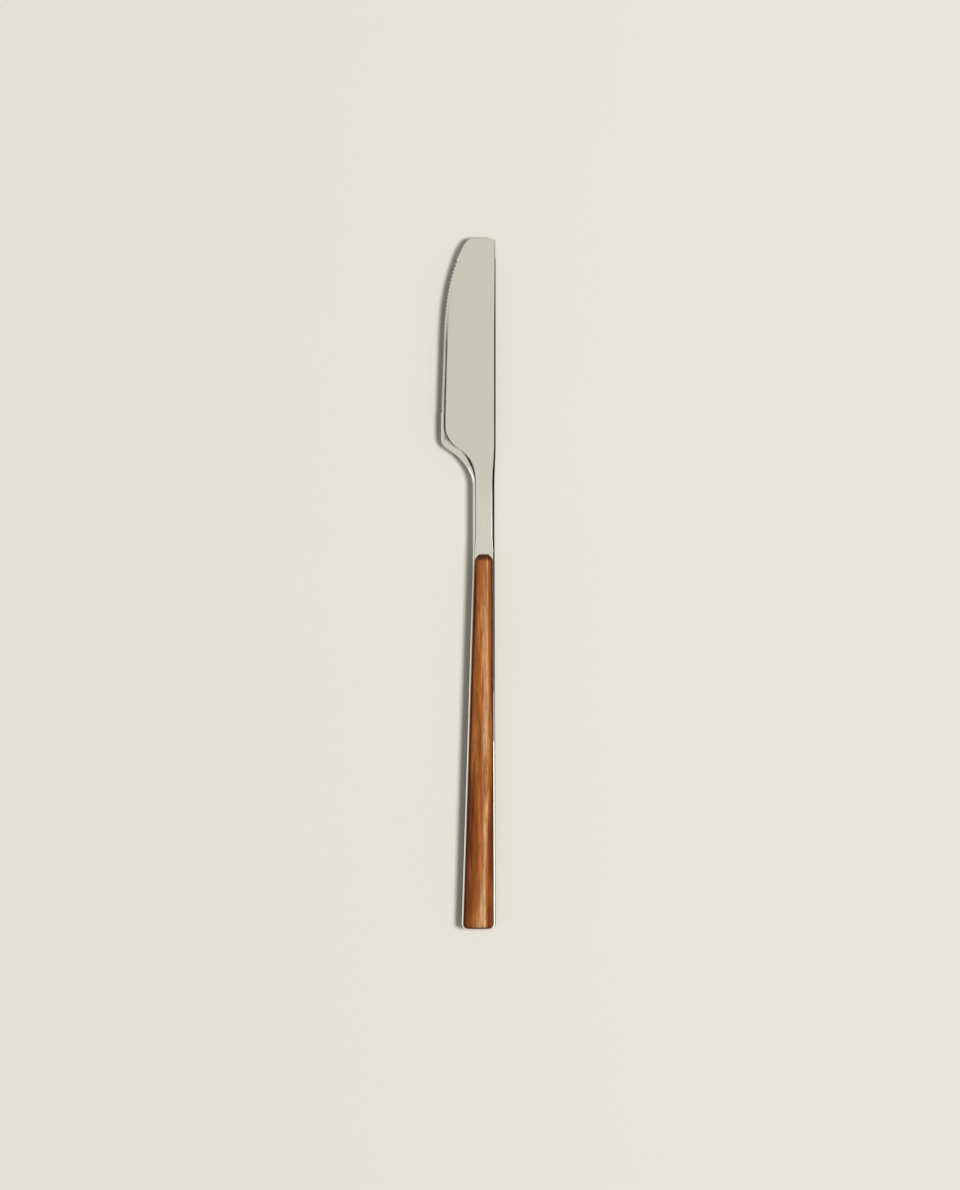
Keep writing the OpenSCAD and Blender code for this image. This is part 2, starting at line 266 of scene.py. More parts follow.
@dataclass(frozen=True)
class Blank:
    """The steel piece: blade, neck and full tang in one. Sizes in millimetres, with shares named as such."""

    # Plan of the blade, from the tip back to the neck
    tip_w: float = 5.9
    tip_back_r: float = 0.5
    tip_corner_l: float = 1.65
    tip_corner_w: float = 2.35
    belly_l: float = 24.5
    edge_l: float = 23.0
    edge_lean_w: float = 0.63
    blade_w: float = 14.2
    heel_l: float = 5.6
    throat_l: float = 9.3
    # Section of the blade
    blade_back_t: float = 1.9
    blade_tip_t: float = 1.4
    blade_front_t: float = 1.0
    edge_t: float = 0.3
    bevel_w: float = 1.2
    heel_bevel_w: float = 3.4
    spine_round: float = 0.55
    tip_round: float = 0.4
    # Teeth
    teeth_start: float = 6.0
    teeth_l: float = 39.0
    tooth_pitch: float = 0.94
    tooth_depth: float = 0.3
    tooth_land: float = 0.16
    # Neck and tang
    tang_t: float = 2.4
    neck_l: float = 17.75
    neck_w: float = 5.95
    neck_back_w: float = 0.3
    neck_round: float = 0.8
    handle_l: float = 98.2
    handle_mid_w: float = 7.45
    butt_w: float = 9.0
    butt_corner_r: float = 1.6
    edge_round: float = 0.4
    # Shape of the outline's curves and of the section's corners
    heel_drop_share: float = 0.25
    heel_slope_share: float = 2.5
    tip_slope_share: float = 0.4
    throat_pull_shares: tuple[float, float] = (0.37, 0.23)
    heel_pull_shares: tuple[float, float] = (0.23, 0.62)
    edge_pull_shares: tuple[float, float] = (0.3, 0.33)
    belly_pull_shares: tuple[float, float] = (0.31, 0.3)
    tip_pull_shares: tuple[float, float] = (0.65, 0.33)
    neck_round_share: float = 0.25
    ground_end_share: float = 0.35
    end_depth_share: float = 0.55
    round_fullness: float = 2.0
    bevel_fullness: float = 1.35
    # Points along the curves, round the corners and across the flat faces
    butt_steps: int = 16
    handle_steps: int = 40
    neck_steps: int = 12
    curve_steps: int = 40
    belly_steps: int = 60
    corner_steps: int = 28
    round_steps: int = 14
    face_shares: tuple[float, ...] = (0.02, 0.07, 0.2, 0.4, 0.6, 0.8, 0.93, 0.98)

    @property
    def throat_y(self) -> float:
        """Where the neck ends and the throat begins."""
        return self.handle_l + self.neck_l

    @property
    def heel_y(self) -> float:
        """Where throat and heel meet."""
        return self.throat_y + self.throat_l

    @property
    def edge_y(self) -> float:
        """Where the heel ends and the blade is widest."""
        return self.heel_y + self.heel_l

    @property
    def belly_y(self) -> float:
        """Where the straight half of the edge ends."""
        return self.edge_y + self.edge_l

    @property
    def corner_y(self) -> float:
        """Where the belly ends and the tip's corner begins."""
        return self.belly_y + self.belly_l

    @property
    def length(self) -> float:
        """Length of the whole knife."""
        return self.corner_y + self.tip_corner_l

    def handle_width(self, y: float) -> float:
        """Width of the handle: the parabola through its widths at the butt, half way along and at the neck.

        Args:
            y: place along the knife, from the butt.

        Returns:
            The width from the line of the back to the cutting side.
        """
        t = y / self.handle_l
        ends = self.butt_w * (1 - t) * (1 - 2 * t) + self.neck_w * t * (2 * t - 1)
        return ends + 4 * self.handle_mid_w * t * (1 - t)

    def curve(
        self, a: Vector, b: Vector, slopes: tuple[float, float], pulls: tuple[float, float], steps: int
    ) -> list[Vector]:
        """A curve of the outline that leaves a and arrives at b along the given slopes.

        Args:
            a: start, as place along the knife and width.
            b: end, in the same way.
            slopes: slopes of the outline at the start and the end.
            pulls: lengths of the two handles of the curve, as shares of its length.
            steps: number of points.

        Returns:
            The points after a, up to b.
        """
        run = b.x - a.x
        leave = a + pulls[0] * run * Vector((1, slopes[0]))
        arrive = b - pulls[1] * run * Vector((1, slopes[1]))
        return interpolate_bezier(a, leave, arrive, b, steps + 1)[1:]

    def outline(self) -> list[Vector]:
        """The cutting side of the knife in plan.

        Returns:
            Points from the butt to the tip, as place along the knife and width from the line of the back.
        """
        heel_w = self.blade_w - self.heel_drop_share * (self.blade_w - self.neck_w)
        heel_slope = self.heel_slope_share * (heel_w - self.neck_w) / self.throat_l
        edge_slope = -self.edge_lean_w / self.edge_l
        tip_slope = -self.tip_slope_share * self.tip_corner_w / self.tip_corner_l
        throat = Vector((self.throat_y, self.neck_w))
        heel = Vector((self.heel_y, heel_w))
        edge = Vector((self.edge_y, self.blade_w))
        belly = Vector((self.belly_y, self.blade_w - self.edge_lean_w))
        corner = Vector((self.corner_y, self.tip_w + self.tip_corner_w))
        tip = Vector((self.length, self.tip_w))
        butt = [self.butt_corner_r * (1 - math.cos(math.pi / 2 * i / self.butt_steps)) for i in range(self.butt_steps)]
        handle = [mix(self.butt_corner_r, self.handle_l, i / self.handle_steps) for i in range(self.handle_steps)]
        neck = [mix(self.handle_l, self.throat_y, i / self.neck_steps) for i in range(self.neck_steps)]
        corner_pulls = (
            corner + self.tip_pull_shares[0] * self.tip_corner_l * Vector((1, tip_slope)),
            tip + Vector((0, self.tip_pull_shares[1] * self.tip_corner_w)),
        )
        return [
            *(Vector((y, self.handle_width(y))) for y in butt + handle),
            *(Vector((y, self.neck_w)) for y in neck),
            throat,
            *self.curve(throat, heel, (0, heel_slope), self.throat_pull_shares, self.curve_steps),
            *self.curve(heel, edge, (heel_slope, 0), self.heel_pull_shares, self.curve_steps),
            *self.curve(edge, belly, (0, edge_slope), self.edge_pull_shares, self.curve_steps),
            *self.curve(belly, corner, (edge_slope, tip_slope), self.belly_pull_shares, self.belly_steps),
            *interpolate_bezier(corner, *corner_pulls, tip, self.corner_steps + 1)[1:],
        ]

    def ground(self, y: float) -> float:
        """Share of the way from the neck's plain section to the blade's ground one."""
        return eased(part_way(self.throat_y, mix(self.heel_y, self.edge_y, self.ground_end_share), y))

    def back_in(self, y: float) -> float:
        """Depth of the back behind its straight line: nothing at the butt and along the blade, most at the neck."""
        return self.neck_back_w * (y / self.handle_l if y < self.handle_l else 1 - self.ground(y))

    def face_half(self, x: float, y: float) -> float:
        """Half of the thickness between the flat faces.

        Args:
            x: place across the knife, from the line of the back.
            y: place along the knife, from the butt.

        Returns:
            The height of the face above the middle of the steel.
        """
        forward = (y - self.edge_y) / (self.length - self.edge_y)
        lean = (self.blade_back_t - self.blade_front_t) / 2 * x / self.blade_w
        blade = mix(self.blade_back_t, self.blade_tip_t, forward) / 2 + lean
        return mix(self.tang_t / 2, blade, self.ground(y))

    def plain_round(self, y: float) -> float:
        """Rounding of the edges of the tang, which grows to that of the neck ahead of the scales."""
        grown = self.handle_l + self.neck_round_share * self.neck_l
        return mix(self.edge_round, self.neck_round, part_way(self.handle_l, grown, y))

    def bevel_at(self, y: float) -> float:
        """Width of the bevel on the cutting side, which is widest round the heel."""
        if y < self.heel_y:
            return mix(self.plain_round(y), self.heel_bevel_w, eased(part_way(self.throat_y, self.heel_y, y)))
        return mix(self.heel_bevel_w, self.bevel_w, eased(part_way(self.heel_y, self.edge_y, y)))

    def end_depth(self, distance: float, length: float) -> float:
        """Share of the thickness left at a distance from a rounded end."""
        return mix(self.end_depth_share, 1, rounded(distance, length))

    def section(self, y: float, width: float) -> Ring:
        """Section across the blank: bevel on the cutting side, flat faces, round back.

        Args:
            y: place along the knife, from the butt.
            width: width of the outline there.

        Returns:
            The ring of points, over the front face to the back and under it again, in millimetres.
        """
        ground = self.ground(y)
        inset = self.butt_corner_r * (1 - rounded(y, self.butt_corner_r))
        left = inset - width
        right = -inset - self.back_in(y) - self.tip_back_r * (1 - rounded(self.length - y, self.tip_back_r))
        bevel = self.bevel_at(y)
        back = mix(self.plain_round(y), self.spine_round, ground)
        edge_half = mix(self.tang_t / 2 - self.plain_round(y), self.edge_t / 2, ground)
        power = 2 / mix(self.round_fullness, self.bevel_fullness, ground)
        depth = self.end_depth(y, self.edge_round) * self.end_depth(self.length - y, self.tip_round)
        face_left = Vector((left + bevel, self.face_half(left + bevel, y)))
        face_right = Vector((right - back, self.face_half(right - back, y)))
        angles = [math.pi / 2 * i / self.round_steps for i in range(self.round_steps)]
        turns = [(math.cos(a), math.sin(a)) for a in angles]
        upper = [
            *(Vector((left + bevel * (1 - c ** power), mix(edge_half, face_left.y, s ** power))) for c, s in turns),
            face_left,
            *(face_left.lerp(face_right, share) for share in self.face_shares),
            face_right,
            *(Vector((right - back * (1 - s), face_right.y - back * (1 - c))) for c, s in turns[1:]),
            Vector((right, face_right.y - back)),
        ]
        front = [Vector((p.x, y, depth * p.y)) for p in upper]
        return front + [Vector((p.x, y, -p.z)) for p in reversed(front)]

    def tooth_row(self, origin: Vector) -> CutRow:
        """The row of round gullets that leaves the fine teeth along the edge.

        Args:
            origin: the blank's own origin in the shared frame.

        Returns:
            The row of cuts, from the tip towards the heel.
        """
        gullet_w = self.tooth_pitch - self.tooth_land
        radius = (gullet_w * gullet_w / 4 + self.tooth_depth * self.tooth_depth) / (2 * self.tooth_depth)
        return CutRow(
            start=origin.y + (self.length - self.teeth_start) * MM,
            pitch=-self.tooth_pitch * MM,
            count=1 + int(self.teeth_l / self.tooth_pitch),
            level=origin.z,
            across_share=0,
            offset=(self.tooth_depth - radius) * MM,
            radius=radius * MM,
            height=2 * self.blade_back_t * MM,
        )


@dataclass(frozen=True)
class Pins:
    """The blind pins across the tang, as the holes that they sit in. Sizes in millimetres."""

    count: int = 3
    diameter: float = 2.0
    bite: float = 1.3
    inset: float = 14.0
    clearance: float = 0.05
    # Share of the hole's depth at which its place across the handle is taken
    level_share: float = 1 / 3

    def row(self, blank: Blank, scale_start: float, origin: Vector, level: float, height: float) -> CutRow:
        """The row of pin holes through one piece of the handle.

        Args:
            blank: the steel that the pins cross.
            scale_start: where the scales begin, from the butt.
            origin: the blank's own origin in the shared frame.
            level: height of the middle of the cuts above the middle of the steel.
            height: height of the cuts.

        Returns:
            The row of cuts, along the middle of the handle.
        """
        first = scale_start + self.inset
        last = blank.handle_l - self.inset
        return CutRow(
            start=origin.y + first * MM,
            pitch=(last - first) / (self.count - 1) * MM,
            count=self.count,
            level=origin.z + level * MM,
            across_share=0.5,
            offset=0,
            radius=(self.diameter / 2 + self.clearance) * MM,
            height=height * MM,
        )


@dataclass(frozen=True)
class Scale:
    """A wooden scale on one side of the tang, rounded across and drawn in at both ends. Sizes in millimetres."""

    thickness: float = 2.3
    crown_w: float = 1.1
    rim_land: float = 0.05
    nose_l: float = 1.8
    end_l: float = 1.2
    bond_t: float = 0.1
    nose_w_share: float = 0.53
    nose_t_share: float = 0.3
    end_w_share: float = 0.75
    end_t_share: float = 0.6
    end_steps: int = 16
    body_steps: int = 60
    flank_steps: int = 24

    def start(self, blank: Blank) -> float:
        """Where a scale begins, from the butt: behind the rim of bare tang."""
        return blank.edge_round + self.rim_land

    def seat(self, blank: Blank) -> float:
        """Height of a scale's seat above the middle of the steel."""
        return blank.tang_t / 2 + self.bond_t

    def drawn_in(self, blank: Blank, y: float, nose_share: float, end_share: float) -> float:
        """Share of a scale's width or thickness that is left near its ends.

        Args:
            blank: the steel under the scale.
            y: place along the knife, from the butt.
            nose_share: share left at the tip of the nose.
            end_share: share left at the butt end.

        Returns:
            The share at that place.
        """
        nose = mix(nose_share, 1, domed(blank.handle_l - y, self.nose_l))
        return nose * mix(end_share, 1, rounded(y - self.start(blank), self.end_l))

    def section(self, blank: Blank, y: float, face: Face) -> Ring:
        """Section across a scale: a round flank on each side of the flat land on its crown.

        Args:
            blank: the steel under the scale.
            y: place along the knife, from the butt.
            face: the side of the tang that the scale is on.

        Returns:
            The ring of points over the crown, in millimetres.
        """
        width, back_in = blank.handle_width(y), blank.back_in(y)
        narrow = self.drawn_in(blank, y, self.nose_w_share, self.end_w_share)
        low = self.drawn_in(blank, y, self.nose_t_share, self.end_t_share)
        middle = -(width + back_in) / 2
        half = ((width - back_in) / 2 - self.start(blank)) * narrow
        land = self.crown_w / 2 * narrow
        angles = [math.pi / 2 * i / self.flank_steps for i in range(self.flank_steps + 1)]
        flank = [(mix(land, half, math.cos(a)), self.seat(blank) + self.thickness * low * math.sin(a)) for a in angles]
        near = [Vector((middle - x, y, face.value * z)) for x, z in flank]
        return near + [Vector((middle + x, y, face.value * z)) for x, z in reversed(flank)]

    def rings(self, blank: Blank, face: Face) -> list[Ring]:
        """The sections of a scale from its butt end to its nose.

        Args:
            blank: the steel under the scale.
            face: the side of the tang that the scale is on.

        Returns:
            The rings, in millimetres.
        """
        start = self.start(blank)
        body, nose = start + self.end_l, blank.handle_l - self.nose_l
        turns = [math.pi / 2 * i / self.end_steps for i in range(self.end_steps)]
        places = [
            *(start + self.end_l * (1 - math.cos(a)) for a in turns),
            *(mix(body, nose, i / self.body_steps) for i in range(self.body_steps)),
            *(mix(nose, blank.handle_l, i / self.end_steps) for i in range(self.end_steps + 1)),
        ]
        return [self.section(blank, y, face) for y in places]


@dataclass(frozen=True)
class Finish:
    """A surface that is drawn in the solid, so that its pattern runs through a piece from side to side."""

    name: str

    def surface(self) -> tuple[bpy.types.Material, bpy.types.Node, bpy.types.NodeSocket]:
        """Starts the material.

        Returns:
            The material, its shader and the coordinates that its patterns follow.
        """
        material = bpy.data.materials.new(self.name)
        material.use_nodes = True
        tree = material.node_tree
        tree.nodes.clear()
        shader = add_node(tree, "ShaderNodeBsdfPrincipled")
        add_node(tree, "ShaderNodeOutputMaterial", inputs={"Surface": shader.outputs[0]})
        coordinates = add_node(tree, "ShaderNodeTexCoord")
        return material, shader, coordinates.outputs["Object"]

    def pattern(
        self,
        coordinates: bpy.types.NodeSocket,
        width: float,
        run: float,
        detail: float = 2.0,
        distortion: float = 0.0,
    ) -> bpy.types.NodeSocket:
        """Adds an irregular pattern that is drawn out along the knife.

        Args:
            coordinates: the coordinates that the pattern follows.
            width: width of its marks across the knife, in millimetres.
            run: length of its marks along the knife, in millimetres.
            detail: number of finer layers.
            distortion: amount by which the marks wander.

        Returns:
            The pattern's level, between 0 and 1.
        """
        tree = coordinates.id_data
        scale = (1 / (width * MM), 1 / (run * MM), 1 / (width * MM))
        spread = add_node(tree, "ShaderNodeMapping", inputs={"Vector": coordinates, "Scale": scale})
        noise = add_node(tree, "ShaderNodeTexNoise", inputs={
            "Vector": spread.outputs[0], "Scale": 1, "Detail": detail, "Distortion": distortion})
        return noise.outputs[0]


@dataclass(frozen=True)
class PolishedSteel(Finish):
    """Stainless steel, ground and then polished bright."""

    name: str = "polished_stainless_steel"
    colour: str = "E0DFD9"
    line_w: float = 0.12
    line_run: float = 30.0
    line_detail: float = 3.0
    smudge: float = 14.0
    # Levels of the lines and smudges where the steel is smoothest and roughest
    gloss_levels: tuple[float, float] = (0.1, 0.4)
    roughness: tuple[float, float] = (0.07, 0.15)
    line_depth: float = 0.0006
    line_strength: float = 0.1

    def material(self) -> bpy.types.Material:
        """A bright mirror that is softened by hair lines along the knife, which the eye reads as polished metal."""
        material, shader, coordinates = self.surface()
        tree = material.node_tree
        # Real polishing lines are a few hundredths of a millimetre wide; these are coarser, so that they show
        lines = self.pattern(coordinates, self.line_w, self.line_run, self.line_detail)
        smudges = self.pattern(coordinates, self.smudge, self.smudge)
        gloss = add_node(tree, "ShaderNodeMath", {"operation": "MULTIPLY"}, {0: lines, 1: smudges})
        rough = add_node(tree, "ShaderNodeMapRange", inputs={
            "Value": gloss.outputs[0], "From Min": self.gloss_levels[0], "From Max": self.gloss_levels[1],
            "To Min": self.roughness[0], "To Max": self.roughness[1]})
        bump = add_node(tree, "ShaderNodeBump", inputs={
            "Height": lines, "Strength": self.line_strength, "Distance": self.line_depth * MM})
        shader.inputs["Base Color"].default_value = linear(self.colour)
        shader.inputs["Metallic"].default_value = 1.0
        tree.links.new(rough.outputs[0], shader.inputs["Roughness"])
        tree.links.new(bump.outputs[0], shader.inputs["Normal"])
        return material


@dataclass(frozen=True)
class OiledWood(Finish):
    """Acacia, sanded smooth and oiled."""

    name: str = "oiled_acacia"
    # The lightest tone, pale and pinkish, is in part a painted highlight where the wood turns towards the back
    tones: tuple[str, ...] = ("6A2E08", "A8632C", "D3A576")
    tone_stops: tuple[float, ...] = (0.24, 0.49, 0.68)
    pore_tone: str = "3D1E0B"
    # Tone of the end grain, which also paints the shade on the nose
    end_grain_and_shade_tone: str = "4A2410"
    # Painted shade on the flanks: the middle of the knife, the distances from it of the darkest and the lightest wood,
    # and what they add to the grain
    middle_z: float = 3.6
    flank_shade_z: tuple[float, float] = (2.6, 3.5)
    flank_shade_shares: tuple[float, float] = (-0.41, -0.12)
    # What the grain gains for each metre across, along and up through the knife: across, a painted highlight that
    # lightens the wood towards the back; along, the wood lightens a little towards the butt
    highlight_and_drift_gain: tuple[float, float, float] = (45.0, -0.49, 0.0)
    # Where a dark band of painted shade on the flank of the back side begins and is full, across the knife, how far it
    # wanders, and what it adds to the grain
    back_shade_x: tuple[float, float] = (4.75, 5.15)
    back_shade_wander: float = 0.6
    back_shade_share: float = -0.16
    # Broad bands of the grain
    band_w: float = 1.9
    band_run: float = 36.0
    band_detail: float = 3.0
    band_bend: float = 0.5
    # Fine streaks: levels of the pattern at their darkest and lightest, and how bright the wood is there
    streak_w: float = 0.5
    streak_run: float = 7.0
    streak_detail: float = 4.0
    streak_bend: float = 0.6
    streak_levels: tuple[float, float] = (0.3, 0.7)
    streak_shades: tuple[float, float] = (0.68, 1.28)
    # Pores: levels of the pattern where they begin and are open, and how far their tone covers the wood
    pore_w: float = 0.2
    pore_run: float = 3.0
    pore_detail: float = 1.0
    pore_levels: tuple[float, float] = (0.62, 0.74)
    pore_cover: float = 0.7
    pore_depth: float = 0.03
    pore_strength: float = 0.3
    # End grain, darker in part as painted shade on the nose: turns towards the ends where it begins and is full, and
    # how far its tone covers the wood
    end_turns: tuple[float, float] = (0.2, 0.8)
    end_cover: float = 0.8
    roughness: tuple[float, float] = (0.18, 0.28)
    gloss_share: float = 0.15

    def material(self) -> bpy.types.Material:
        """Reddish to golden brown bands along the grain with short dark pores, under a soft oily gloss, with painted
        shade on the flanks, the back side and the nose, and a painted highlight towards the back.
        """
        material, shader, coordinates = self.surface()
        tree = material.node_tree
        # Painted shade darkens the wood from the crown down the flanks to the tang, a painted highlight lightens it
        # towards the back, and a dark band of painted shade runs along the flank on the back side
        place = add_node(tree, "ShaderNodeSeparateXYZ", inputs={0: coordinates})
        above = add_node(tree, "ShaderNodeMath", {"operation": "SUBTRACT"}, {
            0: place.outputs["Z"], 1: self.middle_z * MM})
        level = add_node(tree, "ShaderNodeMath", {"operation": "ABSOLUTE"}, {0: above.outputs[0]})
        bands = self.pattern(coordinates, self.band_w, self.band_run, self.band_detail, self.band_bend)
        streaks = self.pattern(coordinates, self.streak_w, self.streak_run, self.streak_detail, self.streak_bend)
        pores = self.pattern(coordinates, self.pore_w, self.pore_run, self.pore_detail)
        # Painted shade on the flanks: the wood darkens as it nears the tang
        flank_shade = add_node(tree, "ShaderNodeMapRange", inputs={
            "Value": level.outputs[0], "From Min": self.flank_shade_z[0] * MM, "From Max": self.flank_shade_z[1] * MM,
            "To Min": self.flank_shade_shares[0], "To Max": self.flank_shade_shares[1]})
        # Painted highlight: the wood lightens towards the back of the knife, on the side of the key lamp
        across = add_node(tree, "ShaderNodeVectorMath", {"operation": "DOT_PRODUCT"}, {0: coordinates, 1: self.highlight_and_drift_gain})
        # The painted highlight towards the back plus the painted shade on the flanks
        painted_light_and_shade = add_node(tree, "ShaderNodeMath", {"operation": "ADD"}, {0: across.outputs["Value"], 1: flank_shade.outputs[0]})
        # A dark band of painted shade on the flank of the back side, its edge wandering with the broad bands; the ring
        # node below holds this painted shade
        wander = add_node(tree, "ShaderNodeMath", {"operation": "MULTIPLY_ADD"}, {
            0: bands, 1: self.back_shade_wander * MM, 2: place.outputs["X"]})
        ring = add_node(tree, "ShaderNodeMapRange", {"interpolation_type": "SMOOTHSTEP"}, {
            "Value": wander.outputs[0], "To Min": 0, "To Max": self.back_shade_share,
            "From Min": (self.back_shade_x[0] + self.back_shade_wander / 2) * MM,
            "From Max": (self.back_shade_x[1] + self.back_shade_wander / 2) * MM})
        back_shaded = add_node(tree, "ShaderNodeMath", {"operation": "ADD"}, {0: bands, 1: ring.outputs[0]})
        grain = add_node(tree, "ShaderNodeMath", {"operation": "ADD"}, {0: back_shaded.outputs[0], 1: painted_light_and_shade.outputs[0]})
        tones = add_node(tree, "ShaderNodeValToRGB", inputs={0: grain.outputs[0]})
        stops = tones.color_ramp.elements
        stops.new(self.tone_stops[1])
        for stop, position, tone in zip(stops, self.tone_stops, self.tones):
            stop.position = position
            stop.color = linear(tone)
        shade = add_node(tree, "ShaderNodeMapRange", inputs={
            "Value": streaks, "From Min": self.streak_levels[0], "From Max": self.streak_levels[1],
            "To Min": self.streak_shades[0], "To Max": self.streak_shades[1]})
        streaked = add_node(tree, "ShaderNodeVectorMath", {"operation": "SCALE"}, {
            0: tones.outputs[0], "Scale": shade.outputs[0]})
        open_pores = add_node(tree, "ShaderNodeMapRange", inputs={
            "Value": pores, "From Min": self.pore_levels[0], "From Max": self.pore_levels[1],
            "To Min": 0, "To Max": self.pore_cover})
        porous = add_node(tree, "ShaderNodeMix", {"data_type": "RGBA"}, {
            0: open_pores.outputs[0], 6: streaked.outputs[0], 7: linear(self.pore_tone)})
        # End grain soaks up more oil, and the nose is given painted shade, so that the nose and the butt end of a scale
        # turn dark
        normal = add_node(tree, "ShaderNodeNewGeometry").outputs["Normal"]
        facing = add_node(tree, "ShaderNodeSeparateXYZ", inputs={0: normal})
        along = add_node(tree, "ShaderNodeMath", {"operation": "ABSOLUTE"}, {0: facing.outputs["Y"]})
        end_grain_and_shade = add_node(tree, "ShaderNodeMapRange", inputs={
            "Value": along.outputs[0], "From Min": self.end_turns[0], "From Max": self.end_turns[1],
            "To Min": 0, "To Max": self.end_cover})
        wood = add_node(tree, "ShaderNodeMix", {"data_type": "RGBA"}, {
            0: end_grain_and_shade.outputs[0], 6: porous.outputs[2], 7: linear(self.end_grain_and_shade_tone)})
        rough = add_node(tree, "ShaderNodeMapRange", inputs={
            "Value": streaks, "From Min": self.streak_levels[0], "From Max": self.streak_levels[1],
            "To Min": self.roughness[1], "To Max": self.roughness[0]})
        height = add_node(tree, "ShaderNodeMath", {"operation": "SUBTRACT"}, {
            0: streaks, 1: open_pores.outputs[0]})
        bump = add_node(tree, "ShaderNodeBump", inputs={
            "Height": height.outputs[0], "Strength": self.pore_strength, "Distance": self.pore_depth * MM})
        shader.inputs["Specular IOR Level"].default_value = self.gloss_share
        tree.links.new(wood.outputs[2], shader.inputs["Base Color"])
        tree.links.new(rough.outputs[0], shader.inputs["Roughness"])
        tree.links.new(bump.outputs[0], shader.inputs["Normal"])
        return material


@dataclass(frozen=True)
class DrawnSteel(Finish):
    """Plain steel rod, drawn to size."""

    name: str = "drawn_steel"
    colours: tuple[str, str] = ("8C8B88", "B4B3AF")
    mark: float = 0.3
    roughness: tuple[float, float] = (0.25, 0.5)

    def material(self) -> bpy.types.Material:
        """Grey metal, duller than the blade, with the faint blotches that drawing leaves."""
        material, shader, coordinates = self.surface()
        tree = material.node_tree
        marks = self.pattern(coordinates, self.mark, self.mark)
        tone = add_node(tree, "ShaderNodeMix", {"data_type": "RGBA"}, {
            0: marks, 6: linear(self.colours[0]), 7: linear(self.colours[1])})
        rough = add_node(tree, "ShaderNodeMapRange", inputs={
            "Value": marks, "To Min": self.roughness[0], "To Max": self.roughness[1]})
        shader.inputs["Metallic"].default_value = 1.0
        tree.links.new(tone.outputs[2], shader.inputs["Base Color"])
        tree.links.new(rough.outputs[0], shader.inputs["Roughness"])
        return material


@dataclass(frozen=True)
class CuredAdhesive(Finish):
    """Epoxy resin, cured in a thin film."""

    name: str = "cured_epoxy"
    colours: tuple[str, str] = ("7A5A34", "A98A5C")
    mark: float = 0.8
    mark_detail: float = 3.0
    roughness: tuple[float, float] = (0.35, 0.6)

    def material(self) -> bpy.types.Material:
        """A dull amber line between wood and steel, a little uneven where the resin took up dust."""
        material, shader, coordinates = self.surface()
        tree = material.node_tree
        marks = self.pattern(coordinates, self.mark, self.mark, self.mark_detail)
        tone = add_node(tree, "ShaderNodeMix", {"data_type": "RGBA"}, {
            0: marks, 6: linear(self.colours[0]), 7: linear(self.colours[1])})
        rough = add_node(tree, "ShaderNodeMapRange", inputs={
            "Value": marks, "To Min": self.roughness[0], "To Max": self.roughness[1]})
        tree.links.new(tone.outputs[2], shader.inputs["Base Color"])
        tree.links.new(rough.outputs[0], shader.inputs["Roughness"])
        return material


@dataclass(frozen=True)
class Matte(Finish):
    """Paper or card of the studio, which may give off light of its own."""

    colour: str
    glow: float = 0.0

    def material(self) -> bpy.types.Material:
        """An even surface without any gloss, so that nothing in the studio draws the eye from the knife."""
        material, shader, _ = self.surface()
        shader.inputs["Base Color"].default_value = linear(self.colour)
        shader.inputs["Roughness"].default_value = 1.0
        shader.inputs["Specular IOR Level"].default_value = 0.0
        shader.inputs["Emission Strength"].default_value = self.glow
        return material


